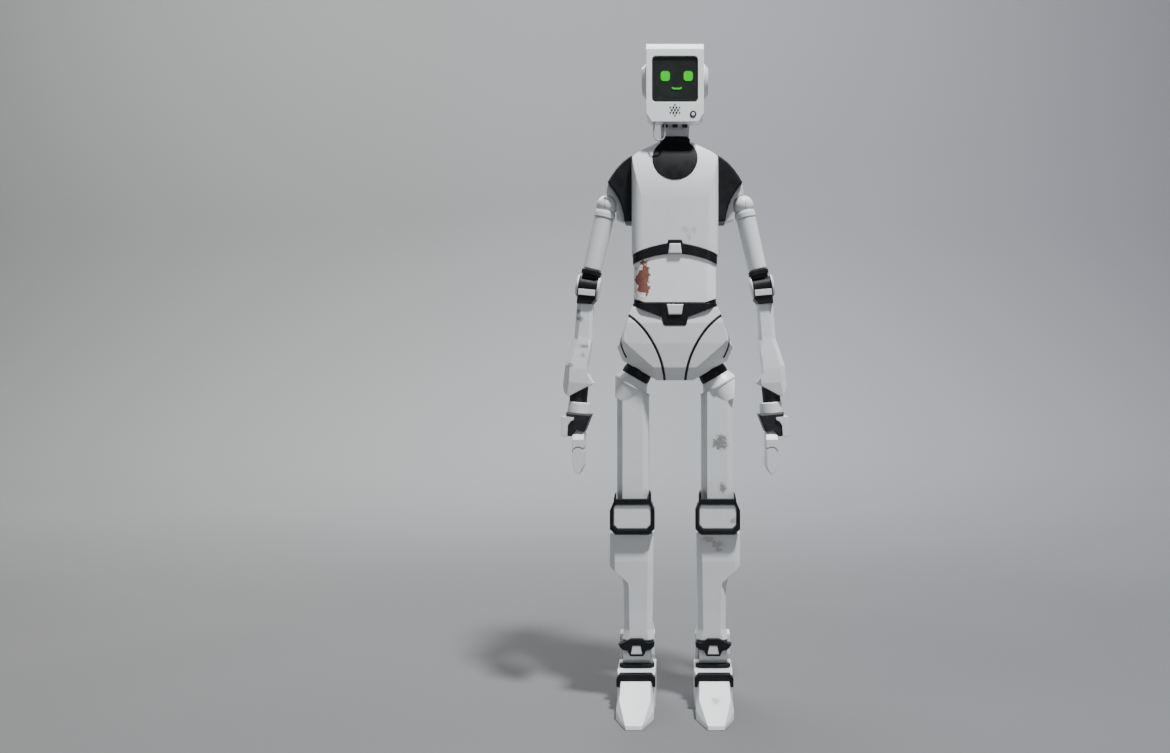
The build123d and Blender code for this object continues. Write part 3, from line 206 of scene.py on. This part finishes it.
def white_shell(name, colour=(0.72, 0.745, 0.755), scuffs=(), rust=None, scratchy=1.0):
    """Painted white moulded shell with painted shade in the corners, fine scratches, scuffs and worn edges."""
    n = Nodes(name)
    broad = n.noise(14.0, 3.0)
    mottle = n.noise(90.0, 5.0, 0.6)
    fine = n.noise(900.0, 6.0, 0.6)
    ragged = n.noise(330.0, 8.0, 0.72)
    edges, rounded = n.edge_wear_and_highlight(0.0011)
    tone = n.mix(n.ramp(broad, 0.35, 0.68, 0.0, 0.55), colour, tuple(c * 0.90 for c in colour))
    tone = n.mix(n.ramp(mottle, 0.5, 0.75, 0.0, 0.30), tone, (colour[0] * 0.86, colour[1] * 0.85, colour[2] * 0.83))
    # hairline scratches in two directions
    line_a = n.noise(26.0, 4.0, 0.7, stretch=((1.0, 1.0, 34.0), (0.3, 0.6, 0.4)))
    line_b = n.noise(24.0, 4.0, 0.7, stretch=((34.0, 1.0, 1.0), (0.2, -0.5, 0.9)))
    hair = n.math("MAXIMUM", n.ramp(line_a, 0.695, 0.73), n.ramp(line_b, 0.70, 0.735))
    hair = n.math("MULTIPLY", hair, n.ramp(mottle, 0.45, 0.6, 0.0, 0.55 * scratchy))
    tone = n.mix(hair, tone, (0.36, 0.36, 0.355))
    # painted shade in corners and creases: the ambient-occlusion mask darkens the paint towards a brownish grey
    tone = n.mix(n.math("MULTIPLY", n.crevices(0.010), n.ramp(mottle, 0.25, 0.65, 0.12, 0.5)), tone, (0.24, 0.235, 0.22))
    # bare, slightly darker plastic along worn edges
    chips = n.math("MULTIPLY", edges, n.ramp(ragged, 0.50, 0.60))
    tone = n.mix(n.math("MULTIPLY", chips, 0.55), tone, (0.33, 0.33, 0.33))
    marks = None
    for centre, radii, strength in scuffs:
        core = n.spot(mm(*centre), tuple(r / 1000.0 for r in radii), 0.25, ragged, 0.9)
        halo = n.spot(mm(*centre), tuple(r * 1.5 / 1000.0 for r in radii), 0.6, mottle, 0.5)
        tone = n.mix(n.math("MULTIPLY", halo, 0.35 * strength), tone, (0.50, 0.49, 0.475))
        tone = n.mix(n.math("MULTIPLY", core, 0.85 * strength), tone, (0.17, 0.165, 0.16))
        marks = core if marks is None else n.math("MAXIMUM", marks, core)
    height = n.ramp(fine, 0.3, 0.7, 0.0, 0.35)
    rough = n.ramp(mottle, 0.3, 0.7, 0.30, 0.44)
    if rust is not None:
        shape = n.spot(mm(*rust[0]), tuple(r / 1000.0 for r in rust[1]), 0.06, n.noise(150.0, 6.0, 0.66, distortion=0.5), 0.62)
        border = n.spot(mm(*rust[0]), tuple(r * 1.12 / 1000.0 for r in rust[1]), 0.10, n.noise(150.0, 6.0, 0.66, distortion=0.5), 0.62)
        grain = n.noise(620.0, 8.0, 0.7)
        rusty = n.mix(n.ramp(grain, 0.35, 0.65), (0.145, 0.048, 0.035), (0.30, 0.115, 0.085))
        rusty = n.mix(n.ramp(ragged, 0.55, 0.7, 0.0, 0.8), rusty, (0.07, 0.03, 0.025))
        tone = n.mix(n.math("MULTIPLY", border, 0.75), tone, (0.62, 0.42, 0.36))
        tone = n.mix(shape, tone, rusty)
        rough = n.math("ADD", rough, n.math("MULTIPLY", shape, 0.42))
        height = n.math("ADD", height, n.math("MULTIPLY", shape, n.ramp(grain, 0.2, 0.8, -2.2, 0.6)))
    if marks is not None:
        rough = n.math("ADD", rough, n.math("MULTIPLY", marks, 0.25))
        height = n.math("SUBTRACT", height, n.math("MULTIPLY", marks, 1.0))
    height = n.math("SUBTRACT", height, n.math("MULTIPLY", hair, 0.8))
    n.put(tone, n.bsdf.inputs["Base Color"])
    n.put(rough, n.bsdf.inputs["Roughness"])
    n.put(n.bump(height, 0.35, 0.00025, rounded), n.bsdf.inputs["Normal"])
    n.bsdf.inputs["Coat Weight"].default_value = 0.12
    n.bsdf.inputs["Coat Roughness"].default_value = 0.25
    return n.mat


def dark_plastic(name, colour=(0.0062, 0.0066, 0.0084), rough=(0.36, 0.54), edge=(0.030, 0.032, 0.035), spec=0.22):
    """Dark moulded plastic with a fine sparked texture and worn edges; the lighter edge tone is partly a painted
    highlight.
    """
    n = Nodes(name)
    mottle = n.noise(110.0, 5.0, 0.6)
    grain = n.noise(2400.0, 3.0, 0.5)
    ragged = n.noise(420.0, 7.0, 0.7)
    edges, rounded = n.edge_wear_and_highlight(0.0009)
    tone = n.mix(n.ramp(mottle, 0.4, 0.7), colour, tuple(c * 1.55 for c in colour))
    # edges lightened with ragged noise: partly real wear, partly a painted edge highlight
    tone = n.mix(n.math("MULTIPLY", edges, n.ramp(ragged, 0.42, 0.62, 0.1, 0.75)), tone, edge)
    dust = n.math("MULTIPLY", n.crevices(0.006), n.ramp(mottle, 0.35, 0.7, 0.0, 0.22))
    tone = n.mix(dust, tone, (0.06, 0.058, 0.054))
    n.put(tone, n.bsdf.inputs["Base Color"])
    n.put(n.ramp(mottle, 0.3, 0.7, rough[0], rough[1]), n.bsdf.inputs["Roughness"])
    n.put(n.bump(grain, 0.30, 0.00012, rounded), n.bsdf.inputs["Normal"])
    n.bsdf.inputs["Specular IOR Level"].default_value = spec
    return n.mat


def grey_plastic(name):
    n = Nodes(name)
    mottle = n.noise(80.0, 5.0, 0.6)
    fine = n.noise(1500.0, 4.0, 0.5)
    edges, rounded = n.edge_wear_and_highlight(0.0009)
    tone = n.mix(n.ramp(mottle, 0.35, 0.7), (0.55, 0.543, 0.585), (0.44, 0.435, 0.47))
    tone = n.mix(n.math("MULTIPLY", edges, 0.5), tone, (0.50, 0.50, 0.50))
    # painted shade: the crevice mask darkens the grey towards near black in corners and creases
    tone = n.mix(n.math("MULTIPLY", n.crevices(0.005), 0.4), tone, (0.12, 0.12, 0.12))
    n.put(tone, n.bsdf.inputs["Base Color"])
    n.put(n.ramp(mottle, 0.3, 0.7, 0.38, 0.55), n.bsdf.inputs["Roughness"])
    n.put(n.bump(fine, 0.25, 0.00015, rounded), n.bsdf.inputs["Normal"])
    return n.mat


def screen_material():
    n = Nodes("screen_gloss")
    smear = n.noise(60.0, 5.0, 0.6, distortion=1.2)
    dust = n.noise(1300.0, 6.0, 0.75)
    tone = n.mix(n.ramp(smear, 0.4, 0.8), (0.0155, 0.021, 0.018), (0.022, 0.027, 0.024))
    tone = n.mix(n.ramp(dust, 0.70, 0.76, 0.0, 0.35), tone, (0.09, 0.095, 0.09))
    n.put(tone, n.bsdf.inputs["Base Color"])
    n.put(n.ramp(smear, 0.45, 0.75, 0.10, 0.24), n.bsdf.inputs["Roughness"])
    n.bsdf.inputs["Coat Weight"].default_value = 0.5
    n.bsdf.inputs["Coat Roughness"].default_value = 0.06
    return n.mat


def display_material():
    n = Nodes("display_glow")
    wave = n.noise(240.0, 2.0)
    tone = n.mix(n.ramp(wave, 0.35, 0.65), (0.0, 0.60, 0.006), (0.004, 0.68, 0.010))
    n.put((0.0, 0.02, 0.0), n.bsdf.inputs["Base Color"])
    n.bsdf.inputs["Specular IOR Level"].default_value = 0.1
    n.put(tone, n.bsdf.inputs["Emission Color"])
    n.bsdf.inputs["Emission Strength"].default_value = 1.35
    n.bsdf.inputs["Roughness"].default_value = 0.3
    return n.mat


def cable_material():
    n = Nodes("cable_sheath")
    mottle = n.noise(300.0, 4.0)
    tone = n.mix(n.ramp(mottle, 0.35, 0.7), (0.40, 0.42, 0.42), (0.30, 0.315, 0.31))
    n.put(tone, n.bsdf.inputs["Base Color"])
    n.put(n.ramp(mottle, 0.3, 0.7, 0.40, 0.55), n.bsdf.inputs["Roughness"])
    n.put(n.bump(n.noise(2500.0, 3.0), 0.2, 0.0001), n.bsdf.inputs["Normal"])
    return n.mat


WHITE = white_shell("white_shell")
DARK = dark_plastic("dark_plastic")
RUBBER = dark_plastic("dark_rubber", colour=(0.012, 0.012, 0.013), rough=(0.55, 0.75), edge=(0.035, 0.035, 0.035), spec=0.25)
GREY = grey_plastic("grey_plastic")
SCREEN = screen_material()
GLOW = display_material()
CABLE_MAT = cable_material()
tube.materials.clear()
tube.materials.append(CABLE_MAT)

special = {
    # painted shade: darker copy of the dark plastic for the neck socket, set against the key light on its dome
    "neck_socket": dark_plastic("socket_painted_shade", colour=(0.0040, 0.0042, 0.0056), edge=(0.016, 0.017, 0.019), spec=0.12),
    # painted light: lighter copies of the dark plastic for the two palms
    "palm_left": dark_plastic("palm_left_painted_light", colour=(0.016, 0.0165, 0.019)),
    "palm_right": dark_plastic("palm_right_painted_light", colour=(0.016, 0.0165, 0.019)),
    # painted shade: slightly darker copy of the white paint for the pelvis
    "pelvis_shell": white_shell("white_pelvis_painted_shade", colour=(0.70, 0.715, 0.72)),
    # painted light: lighter copy of the white paint for the belly plate; its rust patch is a real stain
    "belly_plate": white_shell("white_belly_painted_light", colour=(0.90, 0.93, 0.94), scuffs=(), rust=((-30.8, -26, 414.6), (6.6, 30, 16.6))),
    "chest_front_shell": white_shell("white_chest", scuffs=(((9.5, -28, 462), (3.0, 6, 2.6), 0.26), ((18, -28, 462), (2.4, 6, 2.6), 0.24), ((13.5, -28, 455), (2.0, 6, 2.8), 0.3))),
    "forearm_right": white_shell("white_forearm_right", scuffs=(((-96, -9, 385), (2.0, 9, 2.4), 0.9), ((-94, -9, 377), (2.8, 9, 2.2), 1.0), ((-90, -10, 350), (5.0, 9, 1.8), 0.8),
                                                               ((-91, -10, 341), (1.8, 9, 2.0), 0.6), ((-104, -11, 331), (2.6, 9, 1.8), 0.7))),
    "thigh_shell_left": white_shell("white_thigh_left", scuffs=(((44.5, -17, 254), (6.5, 8, 5.0), 1.0), ((46, -17, 260), (4.0, 8, 2.6), 0.8), ((46.5, -17, 211), (2.8, 8, 4.5), 0.9))),
    "shin_shell_left": white_shell("white_shin_left", scuffs=(((33, -22, 161), (6.0, 8, 2.4), 0.5), ((41, -22, 156), (5.5, 8, 3.0), 0.5), ((43, -22, 151), (3.0, 8, 1.6), 0.45))),
    "knee_cap_left": white_shell("white_knee_cap_left", scuffs=(((56, -27, 180), (2.4, 6, 2.6), 0.6),)),
    # painted light: lighter copies of the white paint for the upward-sloping toe caps; the scuff on the left cap is a
    # real mark
    "toe_cap_right": white_shell("white_toe_right_painted_light", colour=(0.83, 0.87, 0.875)),
    "toe_cap_left": white_shell("white_toe_left_painted_light", colour=(0.83, 0.87, 0.875), scuffs=(((38, -60, 17), (3.0, 8, 2.0), 0.5),)),
    # painted light: lighter copy of the white paint for the face bezel
    "face_bezel": white_shell("white_bezel_painted_light", colour=(0.91, 0.935, 0.94), scratchy=0.5),
    # painted light: lighter copy of the white paint for the head housing
    "head_housing": white_shell("white_head_painted_light", colour=(0.78, 0.80, 0.81), scratchy=0.7),
}
by_slot = {"white_shell": WHITE, "dark_plastic": DARK, "grey_plastic": GREY, "screen": SCREEN,
           "display_green": GLOW, "dark_rubber": RUBBER, "cable_sheath": CABLE_MAT}
slot_of = {row["node"]: row["material_slot"] for row in frame["record"]["subparts"]}
for name, obj in frame["nodes"].items():
    material = special.get(name, by_slot[slot_of[name]])
    if not obj.material_slots:
        continue
    for slot in obj.material_slots:
        slot.material = material

# ------------------------------------------------------------------- stage
bm = bmesh.new()
profile = [(-3.0, 0.0), (1.6, 0.0)]
for step in range(1, 13):
    angle = math.radians(step * 90 / 12)
    profile.append((1.6 + 0.9 * math.sin(angle), 0.9 - 0.9 * math.cos(angle)))
profile.append((2.5, 4.0))
rows = [[bm.verts.new((x, y, z - 0.0002)) for x in (-4.5, 4.5)] for y, z in profile]
for low, high in zip(rows, rows[1:]):
    face = bm.faces.new((low[0], low[1], high[1], high[0]))
    face.smooth = True
mesh = bpy.data.meshes.new("studio_sweep")
bm.to_mesh(mesh)
bm.free()
sweep = bpy.data.objects.new("studio_sweep", mesh)
bpy.context.scene.collection.objects.link(sweep)
n = Nodes("studio_paper")
split = n.tree.nodes.new("ShaderNodeSeparateXYZ")
n.link(n.coord, split.inputs[0])
wall = n.mix(n.ramp(split.outputs["X"], -1.2, 0.6), (0.335, 0.346, 0.341), (0.330, 0.334, 0.366))
# painted shade: the floor part of the sweep is coloured much darker than the wall, ramping across the curve, to hold
# down the key light on the floor
floor = n.mix(n.ramp(split.outputs["X"], -0.9, 0.5), (0.118, 0.118, 0.117), (0.110, 0.111, 0.120))
paper = n.mix(n.ramp(split.outputs["Y"], 0.2, 2.3, 0.0, 1.0, True), floor, wall)
paper = n.mix(n.ramp(n.noise(1.2, 2.0), 0.3, 0.7, 0.0, 0.10), paper, (0.30, 0.30, 0.31))
n.put(paper, n.bsdf.inputs["Base Color"])
n.bsdf.inputs["Roughness"].default_value = 0.9
mesh.materials.append(n.mat)


def area(name, place, aim, size, power, colour=(1, 1, 1)):
    light = bpy.data.lights.new(name, "AREA")
    light.shape = "DISK"
    light.size = size
    light.energy = power
    light.color = colour
    obj = bpy.data.objects.new(name, light)
    obj.location = place
    obj.rotation_euler = (Vector(aim) - Vector(place)).to_track_quat("-Z", "Y").to_euler()
    bpy.context.scene.collection.objects.link(obj)


area("key", (0.60, -0.66, 2.62), (0, 0.0, 0.33), 0.26, 134, (0.985, 1.0, 0.995))
area("fill", (-1.6, -1.9, 0.9), (0, 0, 0.35), 1.6, 3.0, (0.93, 0.95, 1.0))
area("front", (0.9, -2.2, 0.55), (0, 0, 0.35), 1.0, 6.0, (1.0, 1.0, 1.0))
area("floor_wash", (-0.45, 1.15, 1.75), (-0.22, 0.16, 0.0), 1.3, 30)
area("backdrop_high", (0.0, 0.9, 2.9), (0, 2.5, 1.3), 2.4, 36)
area("backdrop_low", (-1.9, 0.9, 2.2), (-1.2, 2.4, 0.6), 1.6, 24)

world = bpy.data.worlds.new("world")
world.use_nodes = True
world.node_tree.nodes["Background"].inputs[0].default_value = (0.84, 0.85, 0.93, 1)
world.node_tree.nodes["Background"].inputs[1].default_value = 0.17
bpy.context.scene.world = world
